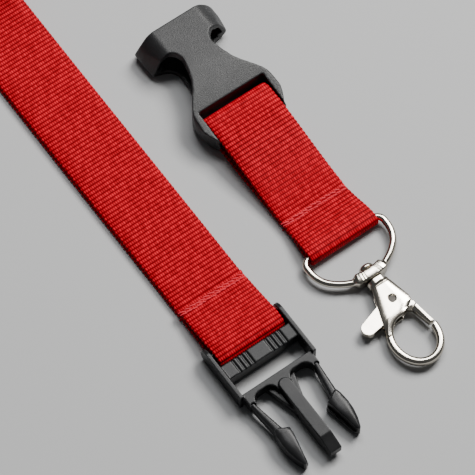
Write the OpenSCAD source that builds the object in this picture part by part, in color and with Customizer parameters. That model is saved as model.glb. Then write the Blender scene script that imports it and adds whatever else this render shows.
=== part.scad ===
// Neck lanyard of flat woven strap, released at its side-release buckle and laid flat.
// One group is the neck strap with the pronged buckle half. The other, parallel to it, is
// the short strap with the socket half at one end and a D-ring with a swivel hook at the other.
// X runs along the straps towards the prongs, Y across them towards the short strap, Z up.
// The parts are drawn with X = 0 at the strap end of the pronged half and Y = 0 on the neck
// strap's centre line, then moved so that the origin is under the middle of the whole layout.

/* [Strap] */
// Width of the woven strap
strap_w = 20; // [15:0.5:25]
// Thickness of one layer of strap
strap_t = 1.1; // [0.8:0.1:1.3]
// Distance between the centre lines of the two straps
group_gap = 36.5; // [32:0.5:60]
// Length of neck strap that lies flat between the pronged half and the middle of the roll
lead_length = 133.5; // [60:0.5:200]
// Outer radius of the rolled-up rest of the neck strap
roll_r = 17.5; // [14:0.5:22]
// Radius of the hollow in the middle of the roll
roll_core_r = 7; // [5:0.5:9]
// Distance from the neck strap's seam to the pronged half
neck_seam_gap = 11.4; // [8:0.1:16]
// Distance between the bar of the socket half and the bar of the D-ring
short_span = 40.7; // [34:0.1:70]
// Distance from the short strap's seam to the bar of the D-ring
short_seam_gap = 11.5; // [9:0.1:16]

/* [Pronged buckle half] */
// Height of the side rails
rail_h = 5.8; // [5.6:0.1:7]
// Radius of the bar that the neck strap goes round
male_bar_r = 1.3; // [1:0.1:1.5]
// Length from the strap end to the tip of the guide tongue
male_length = 42; // [38:0.5:48]
// Width of the guide tongue
tongue_w = 3.4; // [2.6:0.1:3.6]

/* [Socket buckle half] */
// Height of the socket half
shell_h = 9.5; // [9:0.1:11]
// Length from the mouth to the middle of the end bar
shell_length = 35.3; // [33:0.1:40]
// Radius of the bar that the short strap goes round
female_bar_r = 2; // [1.4:0.1:2.2]
// Position of the mouth along the layout
mouth_x = -81.5; // [-84:0.5:-75]

/* [Hook] */
// Radius of the D-ring's wire
wire_r = 0.95; // [0.8:0.05:1.1]
// Distance from the D-ring's straight bar to the middle of its boss
d_depth = 13; // [12:0.1:15]
// Height of the axis of the ring and the swivel above the table
swivel_z = 2.3; // [2.3:0.1:2.8]
// Half thickness of the hook's body
hook_half_t = 2; // [1.8:0.1:2.3]
// Radius of the gate's pivot pin
pin_r = 0.9; // [0.7:0.05:1]

/* [Hidden] */
$fn = 64;

// Fits
loop_gap = 0.08;    // between a bar and the strap that goes round it
pivot_gap = 0.05;   // radial clearance of a pin or a knuckle
cut = 1;            // how far a cutting shape runs past what it cuts

// Strap
hw = strap_w / 2;
male_bar_x = rail_h / 2;
male_bar_z = rail_h / 2;
male_fold_x = 4.15;
male_loop_in = male_bar_r + loop_gap;
male_loop_out = male_loop_in + strap_t;
seam_top = 3 * strap_t;

// Pronged half
rail_in = hw + 0.75;
rail_t = 1.1;
grip_x = [7.1, 11.3];
grip_z = [1.6, 5.3];
groove_r = 0.4;
groove_first = 3;
groove_pitch = 1.4;
grooves = 4;
plate_x = [16.4, 20.4];
plate_z = [0.9, 4.9];
plate_half = hw + 0.7;
frame_end_x = 17.4;
arch_x = 18;
arch_y = [tongue_w / 2 + 0.5, hw - 1.1];
arch_r = [2, 2.4];
gusset_y = 4.2;
gusset_end_x = 27.3;
gusset_top = 3;
tongue_x = 18.8;
tongue_z = [0.3, 5.6];
tongue_slope_x = male_length - 4.6;
tongue_nose = [1.5, 4.2];
knuckle = [plate_x[1], hw - 0.2];
knuckle_r = 0.65;
arm_z = [1.3, 4.5];
arrow_z = [0.5, 5.3];
lip_top = 2.1;
tip_x = 40.8;
shoulder_x = 28.8;
arm_edge = [        // outline of a latch arm from above
    [knuckle.x, knuckle.y - knuckle_r],
    [shoulder_x + 1, hw - 2.6],
    [shoulder_x + 1, hw - 0.3],
    [knuckle.x, knuckle.y + knuckle_r]
];
head_edge = [       // outline of its head
    [shoulder_x, hw - 0.3],
    [shoulder_x + 1.5, hw - 4.15],
    [tip_x - 0.4, hw - 2.3],
    [tip_x, hw - 1.7],
    [tip_x - 0.4, hw - 1.2],
    [38, hw - 0.3],
    [35.5, hw + 0.2],
    [33, hw + 0.3],
    [30.5, hw + 0.1]
];
lip_edge = [        // outline of the low lip on the head's inner side
    [shoulder_x + 2, hw - 4.8],
    [tip_x - 0.6, hw - 2.8],
    [tip_x - 0.4, hw - 2.3],
    [shoulder_x + 1.5, hw - 4.15]
];
gusset_edge = [     // outline of one side's gusset between the plate and the tongue
    [arch_x - 1, 0],
    [arch_x - 1, gusset_y],
    [arch_x + 0.5, gusset_y],
    [gusset_end_x, tongue_w / 2],
    [gusset_end_x, 0]
];

// Socket half
mouth_half = hw + 3;
mouth_taper = 1.1;  // how much narrower the mouth block is, each side, at the finger notches
flare_half = hw + 2.7;
waist_half = hw - 4.1;
slot_half = hw + 0.3;
notch_c = [12.9, hw + 0.2];
notch_r = 4.4;
waist_x = 16;
flare_x = 29.5;
slot_x = 27.1;
wall_z = 1.95;
side_round = 4;
socket_half = hw + 0.6;
socket_end = 24.4;
catch_x = [5.5, 8.5];
catch_y = hw - 1;
catch_h = 1;
female_bar_x = mouth_x + shell_length;
female_bar_z = 3.9;
lobe_r = 2.9;
lobe_l = 7.3;       // how far the lobes run past the widest place
lobe_in = 2.4;      // how much narrower they end
corner_r = 2;       // rounding of the mouth's corners
roof = [            // the top's outline from the side, from the slot back to the flat
    [slot_x, shell_h - 1.5],
    [slot_x - 4, shell_h - 0.4],
    [slot_x - 8, shell_h]
];
tongue_gap = 0.4;   // each side of the guide tongue in its groove
female_loop_in = female_bar_r + loop_gap;
female_loop_out = female_loop_in + strap_t;
female_fold_x = female_bar_x - 4.2;

// D-ring
d_bar_x = female_bar_x + short_span;
d_half = hw + 2.3;
d_corner = 2.2;
d_side_r = 8.2;
d_side_y = d_half - d_side_r;
d_swell = 1.6;      // how much nearer the front than the sides the ring's middle reaches
d_side_x = d_depth - d_side_r - d_swell;
d_front_x = d_side_x + d_swell / 2 - d_side_y * d_side_y / (2 * d_swell);
d_front_r = d_depth - d_front_x;
d_turn = atan(d_side_y / (d_side_x - d_front_x));
d_loop_in = wire_r + loop_gap;
d_loop_out = d_loop_in + strap_t;
weld = 0.06;        // how far the beads at the wire's joints stand proud of it
boss_x = d_bar_x + d_depth;
boss_depth = 3.2;
boss_half_w = 4.7;
boss_half_angle = asin(boss_half_w / d_front_r);
short_seam_x = d_bar_x - short_seam_gap;
short_seam_top = 2.7;

// Hook, measured from the middle of the boss
rivet_r = 1.1;
rivet_head_r = 2.1;
rivet_head_h = 1.4;
rivet_head_x = -boss_depth / 2 - 0.35;
rivet_end_x = 3.5;
collar_r = 2.7;
collar_x = [1.85, 3.4];
pin_at = [9, 0];
pin_half_l = 1.55;
slot_half_t = 1.05;
lever_half_t = 0.95;
ring_c = [20.5, -1.3];
ring_out = [8.3, 7.1];
ring_in = [6.3, 5];
ring_half_t = 1.4;
nose_x = 20.1;
nose_slant = 0.7;   // undercut of the nose, so that the gate's end swings clear of it
gate_half_t = 1.2;
pocket_r = 2.1;
pocket_floor = 0.1;
coil_r = 1.4;
coil_wire_r = 0.18;
coil_z = [0.35, 0.78];
cheek_slot_x = [5.4, 14.8];
cheek_side = 10;    // farther out than any part of the hook
body_edge = [       // outline of the body from above, from the collar round to the ring
    [collar_x[1] - 0.5, -2.3],
    [14, -6.4],
    [17, -7.4],
    [17, -5],
    [14, 0],
    [13, 2.4],
    [11.8, 4],
    [10.4, 4.2],
    [collar_x[1] - 0.5, 2.6]
];
hub_r = 2.5;
tab_edge = [        // outline of the lever's short arm, which ends in the thumb tab
    [7.6, -2],
    [10, -9.9],
    [14.1, -9.9],
    [13.6, -6],
    [11, 1],
    [8.4, 2]
];
tab_c = [12.05, -9.6];
tab_r = 2.05;
neck_edge = [[8.5, 2.2], [12.4, 4.25], [14.2, 4.4], [14.4, 2.6], [10.5, -1.5]];
gate_edge = [       // outline of the bar that closes the ring
    [13.3, 4.35],
    [14, 2.5],
    [19.7, 3.8],
    [19.9, 5.2]
];

// Stitches
thread_r = 0.28;
stitch_l = 1.1;
stitch_pitch = 1.6;
stitch_rows = 2;
row_gap = 1.4;

// The origin is under the middle of everything
x_low = -lead_length - roll_r;
y_low = -rail_in - rail_t;
y_high = group_gap + max(flare_half, d_half + wire_r + weld);
row_x = -(x_low + male_length) / 2;
row_y = -(y_low + y_high) / 2;

// Points of an arc with the given centre, radius, start angle, end angle and number of steps
function arc(c, r, a0, a1, n) =
    [for (i = [0 : n]) c + r * [cos(a0 + (a1 - a0) * i / n), sin(a0 + (a1 - a0) * i / n)]];
// Points of an ellipse with the given centre and half axes
function oval(c, half, n) = [for (i = [0 : n - 1]) c + [half.x * cos(360 * i / n), half.y * sin(360 * i / n)]];
// Smooth step from 0 to 1
function ease(t) = t * t * (3 - 2 * t);
// The list of points mirrored in the X axis, in reverse order
function mirrored(points) = [for (i = [len(points) - 1 : -1 : 0]) [points[i].x, -points[i].y]];

// Places a child of the neck strap's group
module in_neck_group() {
    translate([row_x, row_y, 0]) children();
}

// Places a child of the short strap's group
module in_short_group() {
    translate([row_x, row_y + group_gap, 0]) children();
}

// Places a child drawn from the middle of the boss
module at_boss() {
    in_short_group() translate([boss_x, 0, swivel_z]) children();
}

// Extrudes a profile drawn in X and Z across the strap, centred on Y = 0
module across(width) {
    rotate([90, 0, 0]) translate([0, 0, -width / 2]) linear_extrude(width) children();
}

// Slot with round ends, from one centre to the other
module stadium(x0, x1, z, r) {
    translate([x0, z]) circle(r);
    translate([x1, z]) circle(r);
    translate([x0, z - r]) square([x1 - x0, 2 * r]);
}

// The roll, the doubled strap that lies flat, and the sewn loop round the bar
module neck_strap() {
    color("red") in_neck_group() across(strap_w) difference() {
        union() {
            difference() {
                translate([-lead_length, roll_r]) circle(roll_r);
                translate([-lead_length, roll_r]) circle(roll_core_r);
            }
            polygon([
                [-lead_length, 0],
                [-neck_seam_gap, 0],
                [male_bar_x, male_bar_z - male_loop_out],
                [male_bar_x, male_bar_z + male_loop_out],
                [-neck_seam_gap + row_gap, seam_top],
                [-neck_seam_gap - row_gap, seam_top],
                [-neck_seam_gap - 8, 2 * strap_t],
                [-lead_length, 2 * strap_t]
            ]);
            stadium(male_bar_x, male_fold_x, male_bar_z, male_loop_out);
        }
        stadium(male_bar_x, male_fold_x, male_bar_z, male_loop_in);
        polygon([
            [-neck_seam_gap + 3 * row_gap, 1.5 * strap_t],
            [male_bar_x, male_bar_z - male_loop_in],
            [male_bar_x, male_bar_z + male_loop_in]
        ]);
    }
}

// One stitch: a bar on top, a bar underneath and the two legs that join them
module stitch(z_low, z_high) {
    for (z = [z_low, z_high])
        translate([0, 0, z]) rotate([90, 0, 0]) cylinder(r = thread_r, h = stitch_l, center = true, $fn = 16);
    for (side = [-1, 1])
        translate([0, side * stitch_l / 2, z_low]) cylinder(r = thread_r, h = z_high - z_low, $fn = 16);
}

// Rows of stitches across the strap
module seam(x, thickness) {
    count = floor((strap_w - 2) / stitch_pitch);
    for (row = [0 : stitch_rows - 1])
        for (i = [0 : count])
            translate([x + (row - (stitch_rows - 1) / 2) * row_gap, (i - count / 2) * stitch_pitch, 0])
                stitch(thread_r, thickness);
}

module neck_seam_thread() {
    color("crimson") in_neck_group() seam(-neck_seam_gap, seam_top);
}

module short_seam_thread() {
    color("crimson") in_short_group() seam(short_seam_x, short_seam_top);
}

// The guide tongue's outline from the side, with a lead-in at its tip
module tongue_side() {
    polygon([
        [tongue_x, tongue_z[0]],
        [tongue_slope_x, tongue_z[0]],
        [male_length, tongue_nose[0]],
        [male_length, tongue_nose[1]],
        [tongue_slope_x, tongue_z[1]],
        [tongue_x, tongue_z[1]]
    ]);
}

// Outline from above of the opening between the guide tongue and a latch arm, on the positive Y side
module arch() {
    inner = [arch_x + arch_r[0], arch_y[0] + arch_r[0]];
    outer = [arch_x + arch_r[1], arch_y[1] - arch_r[1]];
    translate(inner) circle(arch_r[0]);
    translate(outer) circle(arch_r[1]);
    translate([arch_x, inner.y]) square([plate_x[1] + cut - arch_x, outer.y - inner.y]);
    translate([inner.x, arch_y[0]]) square([plate_x[1] + cut - inner.x, inner.y - arch_y[0]]);
    translate([outer.x, outer.y]) square([plate_x[1] + cut - outer.x, arch_y[1] - outer.y]);
}

// Ladder frame with the strap bar, the grooved grip bar, the front plate and the guide tongue
module male_frame() {
    color("dimgray") in_neck_group() {
        for (side = [-1, 1])
            translate([0, side * (rail_in + rail_t / 2), 0]) across(rail_t) {
                translate([male_bar_x, male_bar_z]) circle(male_bar_x);
                translate([male_bar_x, 0]) square([frame_end_x - male_bar_x, rail_h]);
            }
        translate([male_bar_x, 0, male_bar_z]) rotate([90, 0, 0])
            cylinder(r = male_bar_r, h = 2 * rail_in + rail_t, center = true);
        difference() {
            translate([grip_x[0], -rail_in - rail_t / 2, grip_z[0]])
                cube([grip_x[1] - grip_x[0], 2 * rail_in + rail_t, grip_z[1] - grip_z[0]]);
            for (side = [-1, 1])
                for (i = [0 : grooves - 1])
                    translate([grip_x[0] - cut, side * (groove_first + i * groove_pitch), grip_z[1]])
                        rotate([0, 90, 0]) cylinder(r = groove_r, h = grip_x[1] - grip_x[0] + 2 * cut, $fn = 24);
        }
        difference() {
            union() {
                translate([plate_x[0], -plate_half, plate_z[0]])
                    cube([plate_x[1] - plate_x[0], 2 * plate_half, plate_z[1] - plate_z[0]]);
                translate([plate_x[0], -rail_in - rail_t / 2, plate_z[0]])
                    cube([frame_end_x - plate_x[0], 2 * rail_in + rail_t, plate_z[1] - plate_z[0]]);
            }
            for (side = [-1, 1]) {
                linear_extrude(rail_h + cut) scale([1, side]) arch();
                translate([knuckle.x, side * knuckle.y, 0])
                    cylinder(r = knuckle_r + pivot_gap, h = rail_h + cut);
            }
        }
        intersection() {
            across(tongue_w) tongue_side();
            linear_extrude(rail_h) {
                translate([tongue_x + tongue_w / 2, 0]) circle(tongue_w / 2);
                translate([tongue_x + tongue_w / 2, -tongue_w / 2]) square([male_length, tongue_w]);
            }
        }
        for (side = [-1, 1])
            translate([0, 0, plate_z[0]]) linear_extrude(gusset_top - plate_z[0])
                scale([1, side]) polygon(gusset_edge);
    }
}

// Latch arm on the positive Y side: a round root, a thin arm and a leaf-shaped head
module latch_arm() {
    arm_h = arm_z[1] - arm_z[0];
    translate([knuckle.x, knuckle.y, arm_z[0]]) cylinder(r = knuckle_r, h = arm_h);
    translate([0, 0, arm_z[0]]) linear_extrude(arm_h) polygon(arm_edge);
    translate([0, 0, arrow_z[0]]) linear_extrude(arrow_z[1] - arrow_z[0]) polygon(head_edge);
    translate([0, 0, arrow_z[0]]) linear_extrude(lip_top - arrow_z[0]) polygon(lip_edge);
}

module latch_arm_left() {
    color("dimgray") in_neck_group() mirror([0, 1, 0]) latch_arm();
}

module latch_arm_right() {
    color("dimgray") in_neck_group() latch_arm();
}

// Half outline of the socket half from above: mouth block, finger notch, waist, flare and lobe
shell_edge = concat(
    [[0, mouth_half - corner_r]],
    arc([corner_r, mouth_half - corner_r], corner_r, 135, 90, 3),
    [[notch_c.x - notch_r, mouth_half - mouth_taper]],
    arc(notch_c, notch_r, 180, 285, 14),
    [for (i = [0 : 10]) [
        waist_x + (flare_x - waist_x) * i / 10,
        waist_half + (flare_half - waist_half) * ease(i / 10)
    ]],
    [for (i = [1 : 5]) [flare_x + lobe_l * i / 5, flare_half - lobe_in * pow(i / 5, 2)]]
);

// Socket half, one hollow moulding with its end bar
module female_shell() {
    color("dimgray") in_short_group() translate([mouth_x, 0, 0]) {
        difference() {
            intersection() {
                linear_extrude(shell_h) polygon(concat(shell_edge, mirrored(shell_edge)));
                across(2 * flare_half + 2 * cut) union() {
                    polygon(concat(
                        [
                            [0, 0],
                            [slot_x + 2, 0],
                            [shell_length, female_bar_z - lobe_r],
                            [shell_length, female_bar_z + lobe_r]
                        ],
                        roof,
                        [[0, shell_h]]
                    ));
                    translate([shell_length, female_bar_z]) circle(lobe_r);
                }
                translate([-cut, 0, 0]) rotate([90, 0, 90]) linear_extrude(shell_length + 5) {
                    translate([-flare_half, side_round]) square([2 * flare_half, shell_h - 2 * side_round]);
                    translate([-flare_half + side_round, 0])
                        square([2 * (flare_half - side_round), shell_h]);
                    for (side = [-1, 1])
                        for (z = [side_round, shell_h - side_round])
                            translate([side * (flare_half - side_round), z]) circle(side_round);
                }
            }
            translate([0, 0, wall_z]) linear_extrude(shell_h - 2 * wall_z) {
                translate([-cut, -socket_half]) square([catch_x[0] + cut, 2 * socket_half]);
                translate([catch_x[0] - cut, -catch_y]) square([catch_x[1] - catch_x[0] + 2 * cut, 2 * catch_y]);
                translate([catch_x[1], -socket_half]) square([socket_end - catch_x[1], 2 * socket_half]);
                translate([catch_x[1], -tongue_w / 2 - tongue_gap])
                    square([socket_end + 1 - catch_x[1], tongue_w + 2 * tongue_gap]);
            }
            translate([-cut, -socket_half, wall_z + catch_h])
                cube([catch_x[1] + 2 * cut, 2 * socket_half, shell_h - 2 * wall_z - 2 * catch_h]);
            translate([slot_x, -slot_half, -cut]) cube([shell_length, 2 * slot_half, shell_h + 2 * cut]);
        }
        translate([shell_length, 0, female_bar_z]) rotate([90, 0, 0])
            cylinder(r = female_bar_r, h = 2 * slot_half + 1, center = true);
    }
}

// Loop of strap from the socket half's bar to the D-ring, sewn across into two eyes
module short_strap() {
    color("red") in_short_group() across(strap_w) difference() {
        union() {
            stadium(female_fold_x, female_bar_x, female_bar_z, female_loop_out);
            polygon([
                [female_bar_x, female_bar_z - female_loop_out],
                [female_bar_x + 10, 0],
                [short_seam_x + 4, 0],
                [d_bar_x, swivel_z - d_loop_out],
                [d_bar_x, swivel_z + d_loop_out],
                [short_seam_x + row_gap, short_seam_top],
                [short_seam_x - row_gap, short_seam_top],
                [female_bar_x, female_bar_z + female_loop_out]
            ]);
            translate([d_bar_x, swivel_z]) circle(d_loop_out);
        }
        stadium(female_fold_x, female_bar_x, female_bar_z, female_loop_in);
        polygon([
            [female_bar_x, female_bar_z - female_loop_in],
            [female_bar_x + 10, strap_t],
            [short_seam_x - 3 * row_gap, strap_t],
            [short_seam_x - 3 * row_gap, 1.6 * strap_t],
            [female_bar_x, female_bar_z + female_loop_in]
        ]);
        translate([d_bar_x, swivel_z]) circle(d_loop_in);
        polygon([
            [short_seam_x + 3 * row_gap, 1.3 * strap_t],
            [d_bar_x, swivel_z - d_loop_in],
            [d_bar_x, swivel_z + d_loop_in]
        ]);
    }
}

// Part of a wire ring, from one angle to another
module wire_arc(r, a0, a1) {
    rotate([0, 0, a0]) rotate_extrude(angle = a1 - a0) translate([r, 0]) circle(wire_r, $fn = 32);
}

// Bead of weld where two lengths of wire meet, with the wire running at the given angle
module wire_bead(angle) {
    rotate([0, 0, angle]) rotate([0, 90, 0]) sphere(wire_r + weld, $fn = 32);
}

// Wire D-ring with the drilled boss at the middle of its curve
module d_ring() {
    color("silver") in_short_group() translate([d_bar_x, 0, swivel_z]) difference() {
        union() {
            rotate([90, 0, 0]) cylinder(r = wire_r, h = 2 * (d_half - d_corner), center = true, $fn = 32);
            translate([d_corner, d_half - d_corner, 0]) wire_arc(d_corner, 90, 180);
            translate([d_corner, d_corner - d_half, 0]) wire_arc(d_corner, 180, 270);
            translate([d_side_x, d_side_y, 0]) wire_arc(d_side_r, d_turn, 90);
            translate([d_side_x, -d_side_y, 0]) wire_arc(d_side_r, -90, -d_turn);
            translate([d_front_x, 0, 0]) wire_arc(d_front_r, -d_turn, d_turn);
            for (side = [-1, 1]) {
                translate([d_corner, side * d_half, 0]) {
                    rotate([0, 90, 0]) cylinder(r = wire_r, h = d_side_x - d_corner, $fn = 32);
                    wire_bead(0);
                }
                translate([d_side_x, side * d_half, 0]) wire_bead(0);
                translate([d_front_x + d_front_r * cos(d_turn), side * d_front_r * sin(d_turn), 0])
                    wire_bead(side * (d_turn - 90));
            }
            translate([d_front_x, 0, 0]) rotate([0, 0, -boss_half_angle])
                rotate_extrude(angle = 2 * boss_half_angle)
                    translate([d_front_r, 0]) square([boss_depth, 2 * swivel_z], center = true);
        }
        translate([d_depth - boss_depth, 0, 0]) rotate([0, 90, 0])
            cylinder(r = rivet_r + pivot_gap, h = 2 * boss_depth);
    }
}

// Rivet that holds the hook to the boss and lets it turn, with a domed head inside the ring
module swivel_rivet() {
    dome_r = (rivet_head_r * rivet_head_r + rivet_head_h * rivet_head_h) / (2 * rivet_head_h);
    color("silver") at_boss() {
        translate([rivet_head_x, 0, 0]) rotate([0, 90, 0]) cylinder(r = rivet_r, h = rivet_end_x - rivet_head_x);
        intersection() {
            translate([rivet_head_x - rivet_head_h + dome_r, 0, 0]) sphere(dome_r);
            translate([rivet_head_x - rivet_head_h - cut, -rivet_head_r - cut, -rivet_head_r - cut])
                cube([rivet_head_h + cut, 2 * (rivet_head_r + cut), 2 * (rivet_head_r + cut)]);
        }
    }
}

// Hook body: collar, slotted body with two cheeks, and the open ring that ends in the nose
module hook_body() {
    color("silver") at_boss() difference() {
        union() {
            intersection() {
                translate([collar_x[0], 0, 0]) rotate([0, 90, 0])
                    cylinder(r = collar_r, h = collar_x[1] - collar_x[0]);
                translate([0, -collar_r, -swivel_z])
                    cube([collar_x[1] + cut, 2 * collar_r, 2 * swivel_z]);
            }
            translate([0, 0, -hook_half_t]) linear_extrude(2 * hook_half_t) difference() {
                polygon(body_edge);
                polygon(oval(ring_c, ring_in, 48));
            }
            translate([0, 0, -ring_half_t]) linear_extrude(2 * ring_half_t) difference() {
                polygon(oval(ring_c, ring_out, 72));
                polygon(oval(ring_c, ring_in, 48));
                polygon([
                    [0, 0],
                    [nose_x + nose_slant, 0],
                    [nose_x + nose_slant, ring_c.y + ring_in.y - 0.5],
                    [nose_x, ring_c.y + ring_out.y],
                    [nose_x, cheek_side],
                    [0, cheek_side]
                ]);
            }
        }
        translate([cheek_slot_x[0], -cheek_side, -slot_half_t])
            cube([cheek_slot_x[1] - cheek_slot_x[0], 2 * cheek_side, 2 * slot_half_t]);
        translate([pin_at.x, pin_at.y, -hook_half_t - cut]) cylinder(r = pin_r, h = 2 * hook_half_t + 2 * cut);
        for (side = [-1, 1])
            translate([pin_at.x, pin_at.y, side * (hook_half_t + cut)])
                cylinder(r = pin_r + 0.2, h = 2 * (hook_half_t + cut - pin_half_l), center = true);
        rotate([0, 90, 0]) cylinder(r = rivet_r, h = rivet_end_x);
    }
}

// Gate with its pivot hub and the thumb tab on the other side
module gate_lever() {
    color("silver") at_boss() difference() {
        union() {
            translate([0, 0, -lever_half_t]) linear_extrude(2 * lever_half_t) {
                translate(pin_at) circle(hub_r);
                polygon(tab_edge);
                translate(tab_c) circle(tab_r);
                polygon(neck_edge);
            }
            translate([0, 0, -gate_half_t]) linear_extrude(2 * gate_half_t) polygon(gate_edge);
        }
        translate([pin_at.x, pin_at.y, -lever_half_t - cut])
            cylinder(r = pin_r + pivot_gap, h = 2 * lever_half_t + 2 * cut);
        translate([pin_at.x, pin_at.y, pocket_floor]) cylinder(r = pocket_r, h = lever_half_t + cut);
    }
}

// Pivot pin, a little shorter than the body is thick
module gate_pin() {
    color("gray") at_boss() translate([pin_at.x, pin_at.y, -pin_half_l])
        cylinder(r = pin_r, h = 2 * pin_half_l);
}

// Two turns of fine wire round the pin, with a leg to the cheek and a leg to the gate
module gate_spring() {
    color("gray") at_boss() translate([pin_at.x, pin_at.y, 0]) {
        for (z = coil_z)
            translate([0, 0, z]) rotate_extrude() translate([coil_r, 0]) circle(coil_wire_r, $fn = 16);
        translate([-coil_r, 0, coil_z[0]]) cylinder(r = coil_wire_r, h = coil_z[1] - coil_z[0], $fn = 16);
        translate([coil_r, 0, coil_z[1]]) cylinder(r = coil_wire_r, h = slot_half_t - coil_z[1], $fn = 16);
    }
}

neck_strap();
neck_seam_thread();
male_frame();
latch_arm_left();
latch_arm_right();
female_shell();
short_strap();
short_seam_thread();
d_ring();
swivel_rivet();
hook_body();
gate_lever();
gate_pin();
gate_spring();
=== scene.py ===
import math

import bmesh
import bpy
import numpy as np
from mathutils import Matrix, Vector


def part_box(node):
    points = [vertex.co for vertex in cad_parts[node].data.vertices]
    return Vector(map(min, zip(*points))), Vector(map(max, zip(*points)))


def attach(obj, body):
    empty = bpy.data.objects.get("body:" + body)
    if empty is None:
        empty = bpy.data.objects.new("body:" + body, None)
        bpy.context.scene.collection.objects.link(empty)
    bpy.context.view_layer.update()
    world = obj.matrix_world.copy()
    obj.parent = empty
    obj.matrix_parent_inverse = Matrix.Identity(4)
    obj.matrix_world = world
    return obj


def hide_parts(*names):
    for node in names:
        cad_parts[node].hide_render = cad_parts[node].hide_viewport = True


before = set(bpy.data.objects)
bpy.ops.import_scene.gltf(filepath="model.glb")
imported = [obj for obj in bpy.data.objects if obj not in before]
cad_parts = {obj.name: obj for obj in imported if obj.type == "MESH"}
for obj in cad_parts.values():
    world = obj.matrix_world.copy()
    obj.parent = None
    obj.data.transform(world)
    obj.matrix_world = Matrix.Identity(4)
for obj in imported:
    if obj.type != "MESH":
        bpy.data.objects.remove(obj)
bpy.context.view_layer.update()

# ---------------------------------------------------------------------------
# Shared helpers. Lengths are in metres, and MM turns millimetres into them.
# They put objects in the scene, shade meshes and build nodes and materials.
# ---------------------------------------------------------------------------
MM = 0.001


def link(name, data):
    """A new object in the scene with this data."""
    item = bpy.data.objects.new(name, data)
    bpy.context.scene.collection.objects.link(item)
    return item


def shade_smooth(mesh):
    """Shades every face of a mesh smoothly."""
    mesh.polygons.foreach_set("use_smooth", np.ones(len(mesh.polygons), bool))


def face_outwards(mesh):
    """Turns the faces of a closed mesh outwards."""
    bm = bmesh.new()
    bm.from_mesh(mesh)
    bmesh.ops.recalc_face_normals(bm, faces=bm.faces)
    bm.to_mesh(mesh)
    bm.free()


def mesh_after_modifiers(start):
    """The plain mesh that an object's modifiers make. The object itself is removed."""
    bpy.context.view_layer.update()
    graph = bpy.context.evaluated_depsgraph_get()
    mesh = bpy.data.meshes.new_from_object(start.evaluated_get(graph), depsgraph=graph)
    bpy.data.objects.remove(start)
    return mesh


def new_tree(name, kind, inputs, outputs):
    """A node tree, and the sockets that its inputs arrive by. Inputs and outputs map name to kind."""
    tree = bpy.data.node_groups.new(name, kind)
    for side, sockets in (("INPUT", inputs), ("OUTPUT", outputs)):
        for label, value_kind in sockets.items():
            tree.interface.new_socket(name=label, in_out=side, socket_type="NodeSocket" + value_kind)
    return tree, tree.nodes.new("NodeGroupInput").outputs


def set_inputs(tree, node, **values):
    """Sets or links inputs of a node, by number as _0 or by name with _ for a space."""
    for key, value in values.items():
        socket = node.inputs[int(key[1:])] if key[1:].isdigit() else node.inputs[key.replace("_", " ")]
        if isinstance(value, bpy.types.NodeSocket):
            tree.links.new(value, socket)
        else:
            socket.default_value = value


def add_node(tree, kind, settings=None, **values):
    """A new node with its settings, and its inputs set or linked."""
    node = tree.nodes.new(kind)
    for key, value in (settings or {}).items():
        setattr(node, key, value)
    set_inputs(tree, node, **values)
    return node


def maths(tree, operation, a, b=0.0, clamp=False):
    """The output of a Math node."""
    settings = {"operation": operation, "use_clamp": clamp}
    return add_node(tree, "ShaderNodeMath", settings, _0=a, _1=b).outputs[0]


def new_material(name):
    """A material, its node tree and its Principled shader."""
    material = bpy.data.materials.new(name)
    material.use_nodes = True
    return material, material.node_tree, material.node_tree.nodes["Principled BSDF"]


# ---------------------------------------------------------------------------
# Camera. A long lens looks down steeply at the lanyard laid out on a table.
# It stands on the side of the prongs, and the straps run away from it.
# ---------------------------------------------------------------------------
look_at = Vector((32.32, -3.375, 0.0)) * MM
camera_azimuth = math.radians(-35.59)
camera_elevation = math.radians(63.55)
camera_distance = 866.7 * MM

camera_data = bpy.data.cameras.new("camera")
camera_data.sensor_width = 36.0
camera_data.lens = 253.75
camera_data.clip_start = 0.05
camera_data.clip_end = 10.0
camera = link("camera", camera_data)
away = Vector((
    math.cos(camera_elevation) * math.cos(camera_azimuth),
    math.cos(camera_elevation) * math.sin(camera_azimuth),
    math.sin(camera_elevation),
))
camera.location = look_at + away * camera_distance
camera.rotation_euler = away.to_track_quat("Z", "Y").to_euler()
bpy.context.scene.camera = camera

# ---------------------------------------------------------------------------
# Table and light. A plain grey table top under one soft light from the far
# side, a weaker fill from above, and a dim room.
# ---------------------------------------------------------------------------
table_half = 1.5
table_mesh = bpy.data.meshes.new("table_top")
table_mesh.from_pydata(
    [(-table_half, -table_half, 0), (table_half, -table_half, 0), (table_half, table_half, 0),
     (-table_half, table_half, 0)],
    [],
    [(0, 1, 2, 3)],
)
table = link("table_top", table_mesh)
table_paint, table_tree, table_shader = new_material("table_paint")
set_inputs(table_tree, table_shader, Base_Color=(0.40, 0.405, 0.41, 1), Roughness=0.75)
table_mesh.materials.append(table_paint)


def soft_light(name, azimuth, elevation, distance, width, height, watts, colour):
    """A rectangular light that faces the middle of the lanyard."""
    data = bpy.data.lights.new(name, "AREA")
    data.shape = "RECTANGLE"
    data.size = width
    data.size_y = height
    data.energy = watts
    data.color = colour
    light = link(name, data)
    a = math.radians(azimuth)
    e = math.radians(elevation)
    direction = Vector((math.cos(e) * math.cos(a), math.cos(e) * math.sin(a), math.sin(e)))
    light.location = direction * distance
    light.rotation_euler = direction.to_track_quat("Z", "Y").to_euler()
    return light


soft_light("window_light", 104, 50, 1.1, 0.50, 0.42, 20.0, (1.0, 0.985, 0.96))
soft_light("overhead_fill", 150, 66, 1.2, 0.5, 0.35, 8.0, (1.0, 1.0, 1.0))

room = bpy.data.worlds.new("room")
room.use_nodes = True
set_inputs(
    room.node_tree, room.node_tree.nodes["Background"], Color=(0.80, 0.82, 0.85, 1), Strength=0.09)
bpy.context.scene.world = room

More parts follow.
